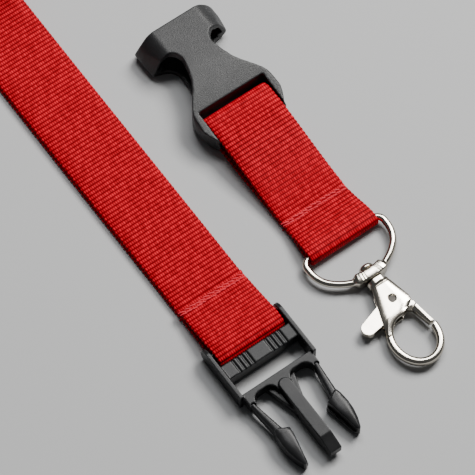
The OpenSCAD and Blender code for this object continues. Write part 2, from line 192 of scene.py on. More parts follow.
# ---------------------------------------------------------------------------
# Neck strap. One ribbon of red polyester webbing, woven with thick ribs across
# it, 20 mm wide. Both halves lie on each other, go round the bar of the pronged
# half and are sewn through; the rest is wound into a roll.
# ---------------------------------------------------------------------------
STRAP_WIDTH = 20.0 * MM
STRAP_THICK = 1.02 * MM
STRAP_LAYER = 1.1 * MM
RIB_PITCH = 1.2 * MM
ROWS_PER_RIB = 5
RIB_HEIGHT = 0.13 * MM
EDGE_HEIGHT = 0.14 * MM
YARNS_ACROSS = 32.0
FLAT_SHARE = 0.965
CORNER_OUT = 0.992
CORNER_UP = 0.62
SEAM_REACH = 1.1 * MM
SEAM_SQUEEZE = 0.16
SEAM_NARROWING = 0.016
SEAM_CALM = 0.55


def arc(centre, radius, start, end, steps):
    """Points (x, z) of an arc, with its angles in degrees."""
    turn = np.radians(np.linspace(start, end, steps))
    return np.stack([centre[0] + radius * np.cos(turn), centre[1] + radius * np.sin(turn)], 1)


def sweep_to(start, start_way, end, end_way, steps=24):
    """Points of a smooth curve between two points that leaves and arrives in the given ways."""
    start, end = np.array(start), np.array(end)
    reach = np.linalg.norm(end - start)
    a = np.array(start_way) / np.linalg.norm(start_way) * reach
    b = np.array(end_way) / np.linalg.norm(end_way) * reach
    t = np.linspace(0, 1, steps)[:, None]
    return ((2 * t**3 - 3 * t**2 + 1) * start + (t**3 - 2 * t**2 + t) * a
            + (3 * t**2 - 2 * t**3) * end + (t**3 - t**2) * b)


def evenly(points, step):
    """The same line with its points an even step apart, and how far along it each one is."""
    points = np.array(points)
    leg = np.linalg.norm(np.diff(points, axis=0), axis=1)
    keep = np.concatenate([[True], leg > 1e-7])
    points = points[keep]
    run = np.concatenate([[0], np.cumsum(np.linalg.norm(np.diff(points, axis=0), axis=1))])
    count = int(round(run[-1] / step)) + 1
    along = np.linspace(0, run[-1], count)
    return np.stack([np.interp(along, run, points[:, i]) for i in (0, 1)], 1), along


def strap_section(width, thick):
    """Outline of the strap's cross-section: place across, height, and how much it is an edge."""
    half, h = width / 2, thick / 2
    flat = np.linspace(-FLAT_SHARE, FLAT_SHARE, 8) * half
    top = [(y, h, 0.0) for y in flat]
    corner = (half * CORNER_OUT, h * CORNER_UP)
    right = [(corner[0], corner[1], 0.6), (half, 0.0, 1.0), (corner[0], -corner[1], 0.6)]
    bottom = [(y, -h, 0.0) for y in flat[::-1]]
    left = [(-y, -z, e) for y, z, e in right]
    return np.array(top + right + bottom + left)


def strap_mesh(name, line, along, centre_y, drift, press, flare):
    """A closed ribbon along a line in X and Z, with what its ribs and its weave need to know.

    drift is how far each point of the line is moved across, press how much it is squeezed, and
    flare how much wider it is.
    """
    way = np.gradient(line, axis=0)
    way /= np.linalg.norm(way, axis=1)[:, None]
    up = np.stack([-way[:, 1], way[:, 0]], 1)
    section = strap_section(STRAP_WIDTH, STRAP_THICK)
    rows, points = len(line), len(section)
    squeeze = (1 - SEAM_SQUEEZE * press)[:, None]
    narrow = (1 - SEAM_NARROWING * press + flare)[:, None]
    height = section[None, :, 1] * squeeze
    co = np.zeros((rows, points, 3))
    co[..., 0] = line[:, None, 0] + up[:, None, 0] * height
    co[..., 2] = line[:, None, 1] + up[:, None, 1] * height
    co[..., 1] = centre_y + drift[:, None] + section[None, :, 0] * narrow
    index = np.arange(rows * points).reshape(rows, points)
    a, b = index[:-1], index[1:]
    quads = np.stack([a, np.roll(a, -1, 1), np.roll(b, -1, 1), b], -1).reshape(-1, 4)
    faces = [tuple(q) for q in quads.tolist()]
    faces.append(tuple(index[0][::-1].tolist()))
    faces.append(tuple(index[-1].tolist()))
    mesh = bpy.data.meshes.new(name)
    mesh.from_pydata(co.reshape(-1, 3).tolist(), [], faces)
    edge = np.repeat(section[None, :, 2], rows, 0)
    side = np.sign(section[:, 1])
    out = np.zeros((rows, points, 3))
    out[..., 0] = up[:, None, 0] * side
    out[..., 2] = up[:, None, 1] * side
    out *= (1 - edge)[..., None]
    out[..., 1] += edge * np.sign(section[:, 0])
    where = np.repeat(along[:, None], points, 1)
    calm = np.repeat((1 - SEAM_CALM * press)[:, None], points, 1)
    for key, kind, field, values in (
        ("along", "FLOAT", "value", where),
        ("edge", "FLOAT", "value", edge),
        ("calm", "FLOAT", "value", calm),
        ("out", "FLOAT_VECTOR", "vector", out),
    ):
        mesh.attributes.new(key, kind, "POINT").data.foreach_set(field, values.ravel())
    uv = mesh.uv_layers.new(name="weave")
    corner = np.zeros(len(mesh.loops), int)
    mesh.loops.foreach_get("vertex_index", corner)
    across = np.repeat(section[None, :, 0], rows, 0).ravel() / STRAP_WIDTH + 0.5
    flat_uv = np.stack([across[corner], where.ravel()[corner] / STRAP_WIDTH], 1)
    uv.data.foreach_set("uv", flat_uv.ravel())
    face_outwards(mesh)
    shade_smooth(mesh)
    return mesh


def rib_tree():
    """Geometry nodes that raise the ribs across a strap and the small scallops along its edges."""
    tree, given = new_tree(
        "strap_ribs", "GeometryNodeTree",
        {"Geometry": "Geometry", "Rib Pitch": "Float", "Rib Height": "Float", "Edge Height": "Float",
         "Material": "Material"},
        {"Geometry": "Geometry"})
    along = add_node(tree, "GeometryNodeInputNamedAttribute", {"data_type": "FLOAT"}, Name="along")
    edge = add_node(tree, "GeometryNodeInputNamedAttribute", {"data_type": "FLOAT"}, Name="edge")
    calm = add_node(tree, "GeometryNodeInputNamedAttribute", {"data_type": "FLOAT"}, Name="calm")
    out = add_node(tree, "GeometryNodeInputNamedAttribute", {"data_type": "FLOAT_VECTOR"}, Name="out")
    ribs = maths(tree, "DIVIDE", along.outputs[0], given["Rib Pitch"])
    wave = maths(tree, "ABSOLUTE", maths(tree, "SINE", maths(tree, "MULTIPLY", ribs, math.pi)))
    fullness = 0.6
    surface_level = 0.6
    bulge = maths(tree, "SUBTRACT", maths(tree, "POWER", wave, fullness), surface_level)
    extra = maths(tree, "MULTIPLY", edge.outputs[0], given["Edge Height"])
    height = maths(tree, "ADD", given["Rib Height"], extra)
    height = maths(tree, "MULTIPLY", height, calm.outputs[0])
    lift = maths(tree, "MULTIPLY", bulge, height)
    shift = add_node(tree, "ShaderNodeVectorMath", {"operation": "SCALE"}, _0=out.outputs[0], Scale=lift)
    moved = add_node(tree, "GeometryNodeSetPosition", Geometry=given["Geometry"], Offset=shift.outputs[0])
    whole = add_node(tree, "GeometryNodeRealizeInstances", Geometry=moved.outputs[0])
    painted = add_node(
        tree, "GeometryNodeSetMaterial", Geometry=whole.outputs[0], Material=given["Material"])
    add_node(tree, "NodeGroupOutput", _0=painted.outputs[0])
    return tree


def grow(name, mesh, tree, values):
    """Runs a geometry nodes tree on a mesh and gives the piece that comes out, as a plain mesh."""
    start = link(name + "_start", mesh)
    modifier = start.modifiers.new("grow", "NODES")
    modifier.node_group = tree
    for item in tree.interface.items_tree:
        if item.item_type == "SOCKET" and item.in_out == "INPUT" and item.name in values:
            modifier[item.identifier] = values[item.name]
    grown = mesh_after_modifiers(start)
    grown.name = name
    return link(name, grown)


def weave_group():
    """Shader group for ribbed webbing. The yarns of each rib show as short dashes in a brick pattern; the
    low valleys carry painted shade and the crowns of the dashes a painted highlight.
    """
    tree, given = new_tree(
        "ribbed_weave", "ShaderNodeTree",
        {"UV": "Vector", "Ribs per Width": "Float", "Yarns per Width": "Float", "Deep": "Color",
         "Body": "Color", "Glint": "Color"},
        {"Color": "Color", "Height": "Float", "Roughness": "Float"})
    at = add_node(tree, "ShaderNodeSeparateXYZ", Vector=given["UV"])
    ribs = maths(tree, "MULTIPLY", at.outputs["Y"], given["Ribs per Width"])
    row = maths(tree, "FLOOR", ribs)
    in_rib = maths(tree, "SUBTRACT", ribs, row)
    rib_fullness = 0.7
    crown = maths(tree, "SINE", maths(tree, "MULTIPLY", in_rib, math.pi))
    crown = maths(tree, "POWER", crown, rib_fullness)
    half_yarn = 0.5
    odd = maths(tree, "MULTIPLY", maths(tree, "MODULO", row, 2.0), half_yarn)
    jitter = add_node(tree, "ShaderNodeTexWhiteNoise", {"noise_dimensions": "1D"}, W=row)
    most_jitter = 0.35
    odd = maths(tree, "ADD", odd, maths(tree, "MULTIPLY", jitter.outputs["Value"], most_jitter))
    across = maths(tree, "MULTIPLY", at.outputs["X"], given["Yarns per Width"])
    yarns = maths(tree, "ADD", across, odd)
    yarn = maths(tree, "FLOOR", yarns)
    in_yarn = maths(tree, "SUBTRACT", yarns, yarn)
    strand = maths(tree, "SINE", maths(tree, "MULTIPLY", in_yarn, math.pi))
    yarn_fullness = 0.8
    strand = maths(tree, "POWER", strand, yarn_fullness)
    key = add_node(tree, "ShaderNodeCombineXYZ", X=row, Y=yarn)
    each = add_node(tree, "ShaderNodeTexWhiteNoise", {"noise_dimensions": "2D"}, Vector=key.outputs[0])
    yarn_share = 0.6
    between = 0.4
    strand_height = maths(tree, "ADD", maths(tree, "MULTIPLY", strand, yarn_share), between)
    body = maths(tree, "MULTIPLY", crown, strand_height)
    darkest = 0.76
    tone_range = 0.42
    tone = maths(tree, "ADD", maths(tree, "MULTIPLY", each.outputs["Value"], tone_range), darkest)
    # Painted shade: the colour darkens towards the deep colour where the weave lies low, between ribs and
    # between yarns.
    base = add_node(
        tree, "ShaderNodeMix", {"data_type": "RGBA"}, Factor=body, A=given["Deep"], B=given["Body"])
    # Painted highlight: the highest crowns of the yarns are mixed towards the light highlight colour.
    tightness = 4.0
    top = maths(tree, "POWER", maths(tree, "MULTIPLY", crown, strand), tightness)
    most_painted_highlight = 0.6
    glint = maths(tree, "MULTIPLY", each.outputs["Value"], most_painted_highlight)
    glint = maths(tree, "MULTIPLY", top, glint, clamp=True)
    lit = add_node(
        tree, "ShaderNodeMix", {"data_type": "RGBA"}, Factor=glint, A=base.outputs["Result"],
        B=given["Glint"])
    shade = add_node(
        tree, "ShaderNodeVectorMath", {"operation": "SCALE"}, _0=lit.outputs["Result"], Scale=tone)
    matt = 0.62
    gloss = 0.2
    rough = maths(tree, "SUBTRACT", matt, maths(tree, "MULTIPLY", top, gloss))
    add_node(tree, "NodeGroupOutput", Color=shade.outputs[0], Height=body, Roughness=rough)
    return tree


ribbed_weave = weave_group()


def webbing_material(name, rib_pitch, deep, body, glint):
    """Polyester webbing: woven colour with painted shade in its valleys and painted highlights on its
    yarns, height, and nearly matt.
    """
    material, tree, shader = new_material(name)
    place = add_node(tree, "ShaderNodeUVMap", {"uv_map": "weave"})
    weave = add_node(
        tree, "ShaderNodeGroup", {"node_tree": ribbed_weave}, UV=place.outputs[0],
        Ribs_per_Width=STRAP_WIDTH / rib_pitch, Yarns_per_Width=YARNS_ACROSS, Deep=(*deep, 1),
        Body=(*body, 1), Glint=(*glint, 1))
    bump = add_node(
        tree, "ShaderNodeBump", Height=weave.outputs["Height"], Strength=0.9, Distance=0.16 * MM)
    set_inputs(
        tree, shader, Base_Color=weave.outputs["Color"], Roughness=weave.outputs["Roughness"],
        Normal=bump.outputs[0], Specular_IOR_Level=0.06)
    return material


# Its colours in order: painted shade for the valleys, the webbing's own red, and a painted highlight for
# the yarns.
red_webbing = webbing_material(
    "red_webbing", RIB_PITCH, (0.075, 0.0, 0.002), (0.54, 0.0, 0.010), (0.70, 0.010, 0.035))

strap_low, strap_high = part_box("neck_strap")
frame_low, frame_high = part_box("male_frame")
neck_y = (strap_low.y + strap_high.y) / 2
rail_height = frame_high.z
male_bar = (frame_low.x + rail_height / 2, rail_height / 2)
male_fold = 4.15 * MM
male_fold_x = frame_low.x + male_fold
male_loop = 1.93 * MM
neck_seam_gap = 11.4 * MM
neck_seam_x = frame_low.x - neck_seam_gap
roll_radius = strap_high.z / 2
roll_at = (strap_low.x + roll_radius, roll_radius)
roll_turns = 4.0
roll_pitch = 2.25 * MM
core_turn = 70
core_gap = 1.9 * MM
layer_z = [0.54 * MM, 1.62 * MM, 2.70 * MM]

outer_turn = np.linspace(0, 360 * roll_turns, 700)
outer_r = roll_radius - STRAP_LAYER / 2 - roll_pitch * outer_turn / 360
inner_r = outer_r - STRAP_LAYER
opening = np.clip((outer_turn - outer_turn[-1] + core_turn) / core_turn, 0, 1)
inner_r = inner_r - core_gap * opening**2 * (3 - 2 * opening)


def polar(radius, turn):
    """Points on the roll, counted from the table and round by the far side."""
    angle = np.radians(-90 - turn)
    return np.stack([roll_at[0] + radius * np.cos(angle), roll_at[1] + radius * np.sin(angle)], 1)


outer = polar(outer_r, outer_turn)
inner = polar(inner_r, outer_turn)[::-1]
fold_way = outer[-1] - outer[-2]
fold_back = inner[1] - inner[0]
core_fold = sweep_to(outer[-1], fold_way, inner[0], fold_back)

# The route's points are given distances from the seam and the bar.
neck_line = np.concatenate([
    [(neck_seam_x - 1.7 * MM, layer_z[2]), (neck_seam_x + 1.6 * MM, layer_z[2])],
    sweep_to(
        (neck_seam_x + 1.7 * MM, layer_z[2]), (1, 0.1),
        (male_bar[0], male_bar[1] + male_loop), (1, 0.1))[1:],
    arc((male_fold_x, male_bar[1]), male_loop, 90, -90, 24),
    sweep_to(
        (male_bar[0], male_bar[1] - male_loop), (-1, -0.03),
        (neck_seam_x + 2.5 * MM, layer_z[0]), (-1, -0.01)),
    [(roll_at[0], layer_z[0])],
    outer[1:],
    core_fold[1:],
    inner[1:],
    [(neck_seam_x - 14 * MM, layer_z[1]), (neck_seam_x + 1.4 * MM, layer_z[1])],
])
neck_line, neck_along = evenly(neck_line, RIB_PITCH / ROWS_PER_RIB)
near_seam = np.exp(-((neck_line[:, 0] - neck_seam_x) / SEAM_REACH) ** 2)
seam_top = 4 * MM
near_seam *= neck_line[:, 1] < seam_top
neck_sway = 0.16 * MM
neck_sway_wave = 31 * MM
low_shift = 0.3 * MM
low_shift_run = 60 * MM
low_layer = np.clip(neck_along / low_shift_run, 0, 1) * (neck_line[:, 1] < STRAP_LAYER)
neck_drift = neck_sway * np.sin(neck_line[:, 0] / neck_sway_wave) - low_shift * low_layer
even_rows = 61
window = np.ones(even_rows) / even_rows
neck_drift = np.convolve(np.pad(neck_drift, even_rows // 2, mode="edge"), window, mode="valid")
fold_flare = 0.012
fold_flare_reach = 6 * MM
neck_flare = fold_flare * np.exp(-((neck_line[:, 0] - male_fold_x) / fold_flare_reach) ** 2)
neck_base = strap_mesh(
    "neck_webbing", neck_line, neck_along, neck_y, neck_drift, near_seam, neck_flare)
strap_ribs = rib_tree()
neck_webbing = grow("neck_webbing", neck_base, strap_ribs, {
    "Rib Pitch": RIB_PITCH,
    "Rib Height": RIB_HEIGHT,
    "Edge Height": EDGE_HEIGHT,
    "Material": red_webbing,
})
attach(neck_webbing, "neck")
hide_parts("neck_strap")

# ---------------------------------------------------------------------------
# Sewn seams. Polyester thread, a little lighter than the webbing. Two close
# rows of slanting stitches run across each strap and hold its loop closed.
# ---------------------------------------------------------------------------


def stitch_tree():
    """Geometry nodes for a row of slanting stitches across a strap."""
    tree, given = new_tree(
        "stitch_row", "GeometryNodeTree",
        {"Geometry": "Geometry", "Stitches": "Int", "Spacing": "Float", "Start": "Vector",
         "Stitch Length": "Float", "Thread Radius": "Float", "Rise": "Float", "Slant": "Float",
         "Wander": "Float", "Seed": "Int", "Material": "Material"},
        {"Geometry": "Geometry"})
    step = add_node(tree, "ShaderNodeCombineXYZ", Y=given["Spacing"])
    row = add_node(
        tree, "GeometryNodeMeshLine", {"mode": "OFFSET"}, Count=given["Stitches"],
        Start_Location=given["Start"], Offset=step.outputs[0])
    spread = add_node(tree, "ShaderNodeCombineXYZ", X=given["Wander"], Y=given["Wander"])
    back = add_node(
        tree, "ShaderNodeVectorMath", {"operation": "SCALE"}, _0=spread.outputs[0], Scale=-1.0)
    stray = add_node(
        tree, "FunctionNodeRandomValue", {"data_type": "FLOAT_VECTOR"}, _0=back.outputs[0],
        _1=spread.outputs[0], Seed=given["Seed"])
    row = add_node(tree, "GeometryNodeSetPosition", Geometry=row.outputs[0], Offset=stray.outputs[0])
    half = maths(tree, "MULTIPLY", given["Stitch Length"], 0.5)
    dip_radii = -1.6
    dip = maths(tree, "MULTIPLY", given["Thread Radius"], dip_radii)
    start = add_node(tree, "ShaderNodeCombineXYZ", X=maths(tree, "MULTIPLY", half, -1.0), Z=dip)
    middle = add_node(tree, "ShaderNodeCombineXYZ", Z=given["Rise"])
    end = add_node(tree, "ShaderNodeCombineXYZ", X=half, Z=dip)
    arch = add_node(
        tree, "GeometryNodeCurveQuadraticBezier", Resolution=7, Start=start.outputs[0],
        Middle=middle.outputs[0], End=end.outputs[0])
    ring = add_node(tree, "GeometryNodeCurvePrimitiveCircle", Resolution=8, Radius=given["Thread Radius"])
    thread = add_node(
        tree, "GeometryNodeCurveToMesh", Curve=arch.outputs[0], Profile_Curve=ring.outputs[0],
        Fill_Caps=True)
    most_turn = 0.14
    turn_by = add_node(
        tree, "FunctionNodeRandomValue", {"data_type": "FLOAT"}, _2=-most_turn, _3=most_turn,
        Seed=given["Seed"])
    turned = maths(tree, "ADD", given["Slant"], turn_by.outputs[1])
    facing = add_node(tree, "ShaderNodeCombineXYZ", Z=turned)
    facing = add_node(tree, "FunctionNodeEulerToRotation", Euler=facing.outputs[0])
    shortest = 0.85
    longest = 1.12
    size = add_node(
        tree, "FunctionNodeRandomValue", {"data_type": "FLOAT"}, _2=shortest, _3=longest,
        Seed=given["Seed"])
    sewn = add_node(
        tree, "GeometryNodeInstanceOnPoints", Points=row.outputs[0], Instance=thread.outputs[0],
        Rotation=facing.outputs[0], Scale=size.outputs[1])
    whole = add_node(tree, "GeometryNodeRealizeInstances", Geometry=sewn.outputs[0])
    smooth = add_node(tree, "GeometryNodeSetShadeSmooth", Geometry=whole.outputs[0])
    painted = add_node(
        tree, "GeometryNodeSetMaterial", Geometry=smooth.outputs[0], Material=given["Material"])
    add_node(tree, "NodeGroupOutput", _0=painted.outputs[0])
    return tree


def speckled(name, low, high, scale, roughness):
    """A plain fibre finish whose colour varies a little from place to place."""
    material, tree, shader = new_material(name)
    place = tree.nodes.new("ShaderNodeTexCoord")
    noise = add_node(
        tree, "ShaderNodeTexNoise", Vector=place.outputs["Object"], Scale=scale, Detail=3.0)
    mix = add_node(
        tree, "ShaderNodeMix", {"data_type": "RGBA"}, Factor=noise.outputs["Fac"], A=(*low, 1),
        B=(*high, 1))
    bump = add_node(
        tree, "ShaderNodeBump", Height=noise.outputs["Fac"], Strength=0.5, Distance=0.05 * MM)
    set_inputs(
        tree, shader, Base_Color=mix.outputs["Result"], Normal=bump.outputs[0], Roughness=roughness)
    return material


seam_thread = speckled("seam_thread", (0.46, 0.002, 0.014), (0.74, 0.018, 0.045), 2600.0, 0.8)
stitches = stitch_tree()


def sew(name, x, y, top_z, bottom_z, body, node):
    """One seam: two rows on top of the strap and one underneath.

    Each row has its place along the strap, its height, its rise, its slant in radians and its seed.
    """
    bm = bmesh.new()
    edge_margin = 0.9 * MM
    half_seam = STRAP_WIDTH / 2 - edge_margin
    spacing = 1.5 * MM
    count = int(2 * half_seam / spacing) + 1
    rows = [
        (-0.42 * MM, top_z, 0.42 * MM, 1.22, 11),
        (0.42 * MM, top_z, 0.42 * MM, 1.42, 23),
        (0.0, bottom_z, -0.1 * MM, 1.5, 37),
    ]
    for offset, z, rise, slant, seed in rows:
        row = grow(name + "_row", bpy.data.meshes.new("row"), stitches, {
            "Stitches": count,
            "Spacing": spacing,
            "Start": (x + offset, y - half_seam, z),
            "Stitch Length": 2.3 * MM,
            "Thread Radius": 0.21 * MM,
            "Rise": rise,
            "Slant": slant,
            "Wander": 0.17 * MM,
            "Seed": seed,
            "Material": seam_thread,
        })
        bm.from_mesh(row.data)
        bpy.data.objects.remove(row)
    mesh = bpy.data.meshes.new(name)
    bm.to_mesh(mesh)
    bm.free()
    mesh.materials.append(seam_thread)
    shade_smooth(mesh)
    seam = link(name, mesh)
    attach(seam, body)
    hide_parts(node)
    return seam


UNDER_STITCH_Z = 0.56 * MM
neck_stitch_z = layer_z[2] + 0.42 * MM
neck_seam = sew(
    "neck_seam", neck_seam_x, neck_y, neck_stitch_z, UNDER_STITCH_Z, "neck", "neck_seam_thread")

# ---------------------------------------------------------------------------
# Pronged buckle half. One moulding of black acetal: a ladder frame with the
# strap bar and a grooved grip bar, a guide tongue in the middle, and two latch
# arms whose thin roots flex. Its tops have a fine satin grain.
# ---------------------------------------------------------------------------


def moulded_copy(name, node, voxel, passes, shape=None):
    """A smooth-edged moulding or casting in the shape of a CAD node.

    voxel is the size of its faces, passes how far its edges are rounded, and shape may move its
    points. The copy is scaled up by grid for the remesh and back down after it.
    """
    grid = 100.0
    weld = 0.002 * MM
    bm = bmesh.new()
    bm.from_mesh(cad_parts[node].data)
    bmesh.ops.remove_doubles(bm, verts=bm.verts, dist=weld)
    bmesh.ops.scale(bm, verts=bm.verts, vec=(grid, grid, grid))
    mesh = bpy.data.meshes.new(name)
    bm.to_mesh(mesh)
    bm.free()
    mesh.materials.clear()
    start = link(name + "_start", mesh)
    remesh = start.modifiers.new("remesh", "REMESH")
    remesh.mode = "VOXEL"
    remesh.voxel_size = voxel * grid
    smooth = start.modifiers.new("smooth", "SMOOTH")
    smooth.factor = 0.5
    smooth.iterations = passes
    made = mesh_after_modifiers(start)
    co = np.zeros(len(made.vertices) * 3)
    made.vertices.foreach_get("co", co)
    co = co.reshape(-1, 3) / grid
    if shape:
        co = shape(co)
    made.vertices.foreach_set("co", co.ravel())
    made.update()
    made.name = name
    shade_smooth(made)
    return link(name, made)


def grain_group():
    """Shader group for the spark-eroded grain of a moulded surface, with a painted highlight along its
    sharp edges and faint patches of dust.
    """
    tree, given = new_tree(
        "moulded_grain", "ShaderNodeTree",
        {"Place": "Vector", "Grain Size": "Float", "Base": "Color", "Rubbed": "Color",
         "Roughness": "Float"},
        {"Color": "Color", "Roughness": "Float", "Height": "Float"})
    fine = add_node(
        tree, "ShaderNodeTexNoise", Vector=given["Place"], Scale=given["Grain Size"], Detail=2.0)
    broad = add_node(tree, "ShaderNodeTexNoise", Vector=given["Place"], Scale=260.0, Detail=3.0)
    tilt = add_node(tree, "ShaderNodeNewGeometry")
    # Painted highlight: sharp outer edges, found by pointiness, turn towards the lighter colour; broad
    # noise adds faint dust in the same colour.
    flat_limit = 0.51
    above_flat = maths(tree, "SUBTRACT", tilt.outputs["Pointiness"], flat_limit)
    edge_gain = 9.0
    edge = maths(tree, "MULTIPLY", above_flat, edge_gain, clamp=True)
    least_edge_shine = 0.2
    edge_shine_mask = maths(tree, "ADD", broad.outputs["Fac"], least_edge_shine)
    edge_shine_mask = maths(tree, "MULTIPLY", edge, edge_shine_mask, clamp=True)
    dust_share = 0.25
    dusty = maths(tree, "MULTIPLY", broad.outputs["Fac"], dust_share)
    tint = add_node(
        tree, "ShaderNodeMix", {"data_type": "RGBA"},
        Factor=maths(tree, "ADD", edge_shine_mask, dusty, clamp=True), A=given["Base"], B=given["Rubbed"])
    patchy = 0.12
    rough = maths(tree, "MULTIPLY", broad.outputs["Fac"], patchy)
    rough = maths(tree, "ADD", given["Roughness"], rough)
    rubbed_gloss = 0.15
    rough = maths(tree, "SUBTRACT", rough, maths(tree, "MULTIPLY", edge_shine_mask, rubbed_gloss))
    add_node(
        tree, "NodeGroupOutput", Color=tint.outputs["Result"], Roughness=rough,
        Height=fine.outputs["Fac"])
    return tree


moulded_grain = grain_group()
GRAIN_SIZE = 4200.0


def plastic(name, base, rubbed, roughness, depth, shine):
    """Black moulded plastic with its own depth of grain."""
    material, tree, shader = new_material(name)
    place = tree.nodes.new("ShaderNodeTexCoord")
    grain = add_node(
        tree, "ShaderNodeGroup", {"node_tree": moulded_grain}, Place=place.outputs["Object"],
        Grain_Size=GRAIN_SIZE, Base=(*base, 1), Rubbed=(*rubbed, 1), Roughness=roughness)
    bump = add_node(
        tree, "ShaderNodeBump", Height=grain.outputs["Height"], Strength=1.0, Distance=depth)
    set_inputs(
        tree, shader, Base_Color=grain.outputs["Color"], Roughness=grain.outputs["Roughness"],
        Normal=bump.outputs[0], Specular_IOR_Level=shine)
    return material


pronged_plastic = plastic(
    "pronged_plastic", base=(0.006, 0.006, 0.0065), rubbed=(0.060, 0.062, 0.064), roughness=0.24,
    depth=0.014 * MM, shine=0.16)

pronged_frame = moulded_copy("pronged_frame", "male_frame", voxel=0.18 * MM, passes=3)
pronged_frame.data.materials.append(pronged_plastic)
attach(pronged_frame, "pronged_half")
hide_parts("male_frame")

# The arm's middle and half width along it, in millimetres from the frame's end and its middle.
arm_middle = ([20.4, 29.0, 31.0, 40.8], [9.8, 8.6, 8.0, 8.3])
arm_half = ([20.4, 28.8, 30.3, 33.0, 38.0, 40.8], [0.65, 1.1, 2.1, 2.3, 1.4, 0.5])
arm_centre = 2.9
arm_rise = 2.4
dome_drop = 0.5
nose_drop = 1.0
nose_start = 33
nose_run = 8


def shape_arm(co):
    """Domes the head along its length and rounds the top of the arm that carries it."""
    run = (co[:, 0] - frame_low.x) / MM
    out = np.abs(co[:, 1] - neck_y) / MM
    middle = np.interp(run, *arm_middle)
    half = np.interp(run, *arm_half)
    off = np.clip(np.abs(out - middle) / half, 0, 1.2)
    nose = np.clip((run - nose_start) / nose_run, 0, 1) ** 2
    high = co[:, 2] > arm_centre * MM
    drop = (dome_drop * off**2.6 + nose_drop * nose) * MM
    share = np.clip((co[:, 2] / MM - arm_centre) / arm_rise, 0, 1)
    co[:, 2] = np.where(high, co[:, 2] - drop * share, co[:, 2])
    return co


for side_name in ("left", "right"):
    node = "latch_arm_" + side_name
    arm = moulded_copy(node + "_moulding", node, voxel=0.14 * MM, passes=5, shape=shape_arm)
    arm.data.materials.append(pronged_plastic)
    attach(arm, side_name + "_arm")
    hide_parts(node)

# ---------------------------------------------------------------------------
# Socket buckle half. A hollow moulding of black acetal with finger notches, a
# waist and a flared end that carries the strap bar. Its skin is evenly grained.
# ---------------------------------------------------------------------------
socket_plastic = plastic(
    "socket_plastic", base=(0.008, 0.0083, 0.009), rubbed=(0.034, 0.035, 0.037), roughness=0.38,
    depth=0.07 * MM, shine=0.36)
socket_low, socket_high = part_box("female_shell")
socket_y = (socket_low.y + socket_high.y) / 2

# In millimetres from the mouth and from the table. The CAD's roof is a row of heights along it.
block_run = 7
block_fade = 10
lean_from = 2.4
lean_rise = 7.1
lean_share = 0.27
mouth_run = 4
mouth_set_back = 0.7
mouth_overhang = 1.2
overhang_rise = 8.5
cad_roof_at = ([0, 19.1, 23.1, 27.1, 35.3], [9.5, 9.5, 9.1, 8.0, 6.8])
roof_top = 9.5
roof_fall = 1.5
roof_fall_from = 13
roof_fall_run = 14.1
roof_fall_end = 27.1


def shape_socket(co):
    """Leans the sides of the mouth block inwards and rounds the roof off towards the strap's slot."""
    run = (co[:, 0] - socket_low.x) / MM
    height = co[:, 2] / MM
    block = 1 - np.clip((run - block_run) / block_fade, 0, 1) ** 2
    lean = np.clip((height - lean_from) / lean_rise, 0, 1) ** 1.15
    co[:, 1] = socket_y + (co[:, 1] - socket_y) * (1 - lean_share * lean * block)
    near_mouth = np.clip(1 - run / mouth_run, 0, 1)
    overhang = mouth_overhang * MM * np.clip(1 - height / overhang_rise, 0, 1) * near_mouth
    co[:, 0] += mouth_set_back * MM * near_mouth - overhang
    cad_roof = np.interp(run, *cad_roof_at)
    fallen = roof_top - roof_fall * np.clip((run - roof_fall_from) / roof_fall_run, 0, 1) ** 2
    co[:, 2] *= np.where(run < roof_fall_end, fallen, cad_roof) / cad_roof
    return co


socket_shell = moulded_copy(
    "socket_shell", "female_shell", voxel=0.24 * MM, passes=5, shape=shape_socket)
socket_shell.data.materials.append(socket_plastic)
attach(socket_shell, "socket_half")
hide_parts("female_shell")

# ---------------------------------------------------------------------------
# Short strap. The same webbing in a loop from the bar of the socket half to
# the D-ring. One seam near the ring closes it into a large and a small eye.
# ---------------------------------------------------------------------------
short_low, short_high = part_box("short_strap")
ring_low, ring_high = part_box("d_ring")
short_y = (short_low.y + short_high.y) / 2
WIRE_RADIUS = 0.95 * MM
short_span = 40.7 * MM
socket_bar_z = 3.9 * MM
socket_fold = 4.2 * MM
short_seam_gap = 11.5 * MM
ring_bar = (ring_low.x + WIRE_RADIUS, ring_high.z / 2)
socket_bar = (ring_bar[0] - short_span, socket_bar_z)
socket_fold_x = socket_bar[0] - socket_fold
socket_loop = 2.63 * MM
ring_loop = 1.58 * MM
short_seam_x = ring_bar[0] - short_seam_gap
short_layer_z = [0.50 * MM, 1.35 * MM, 2.20 * MM]
SHORT_RIB_PITCH = 1.25 * MM

# The route's points are given distances from the seam and the two bars.
short_line = np.concatenate([
    [(short_seam_x - 1.8 * MM, short_layer_z[1]), (short_seam_x + 1.4 * MM, short_layer_z[1])],
    sweep_to(
        (short_seam_x + 1.5 * MM, short_layer_z[1]), (1, -0.04),
        (ring_bar[0], ring_bar[1] - ring_loop), (1, -0.02)),
    arc(ring_bar, ring_loop, -90, 90, 24)[1:],
    sweep_to(
        (ring_bar[0], ring_bar[1] + ring_loop), (-1, 0.0),
        (short_seam_x + 1.3 * MM, short_layer_z[2]), (-1, -0.03))[1:],
    sweep_to(
        (short_seam_x - 1.3 * MM, short_layer_z[2]), (-1, 0.05),
        (socket_bar[0], socket_bar[1] + socket_loop), (-1, 0.05), 60),
    arc((socket_fold_x, socket_bar[1]), socket_loop, 90, 270, 30),
    sweep_to(
        (socket_bar[0], socket_bar[1] - socket_loop), (1, 0.0),
        (socket_bar[0] + 11 * MM, short_layer_z[0]), (1, 0.0)),
    [(short_seam_x + 1.9 * MM, short_layer_z[0])],
])
short_line, short_along = evenly(short_line, SHORT_RIB_PITCH / ROWS_PER_RIB)
at_seam = np.exp(-((short_line[:, 0] - short_seam_x) / SEAM_REACH) ** 2)
short_sway = 0.22 * MM
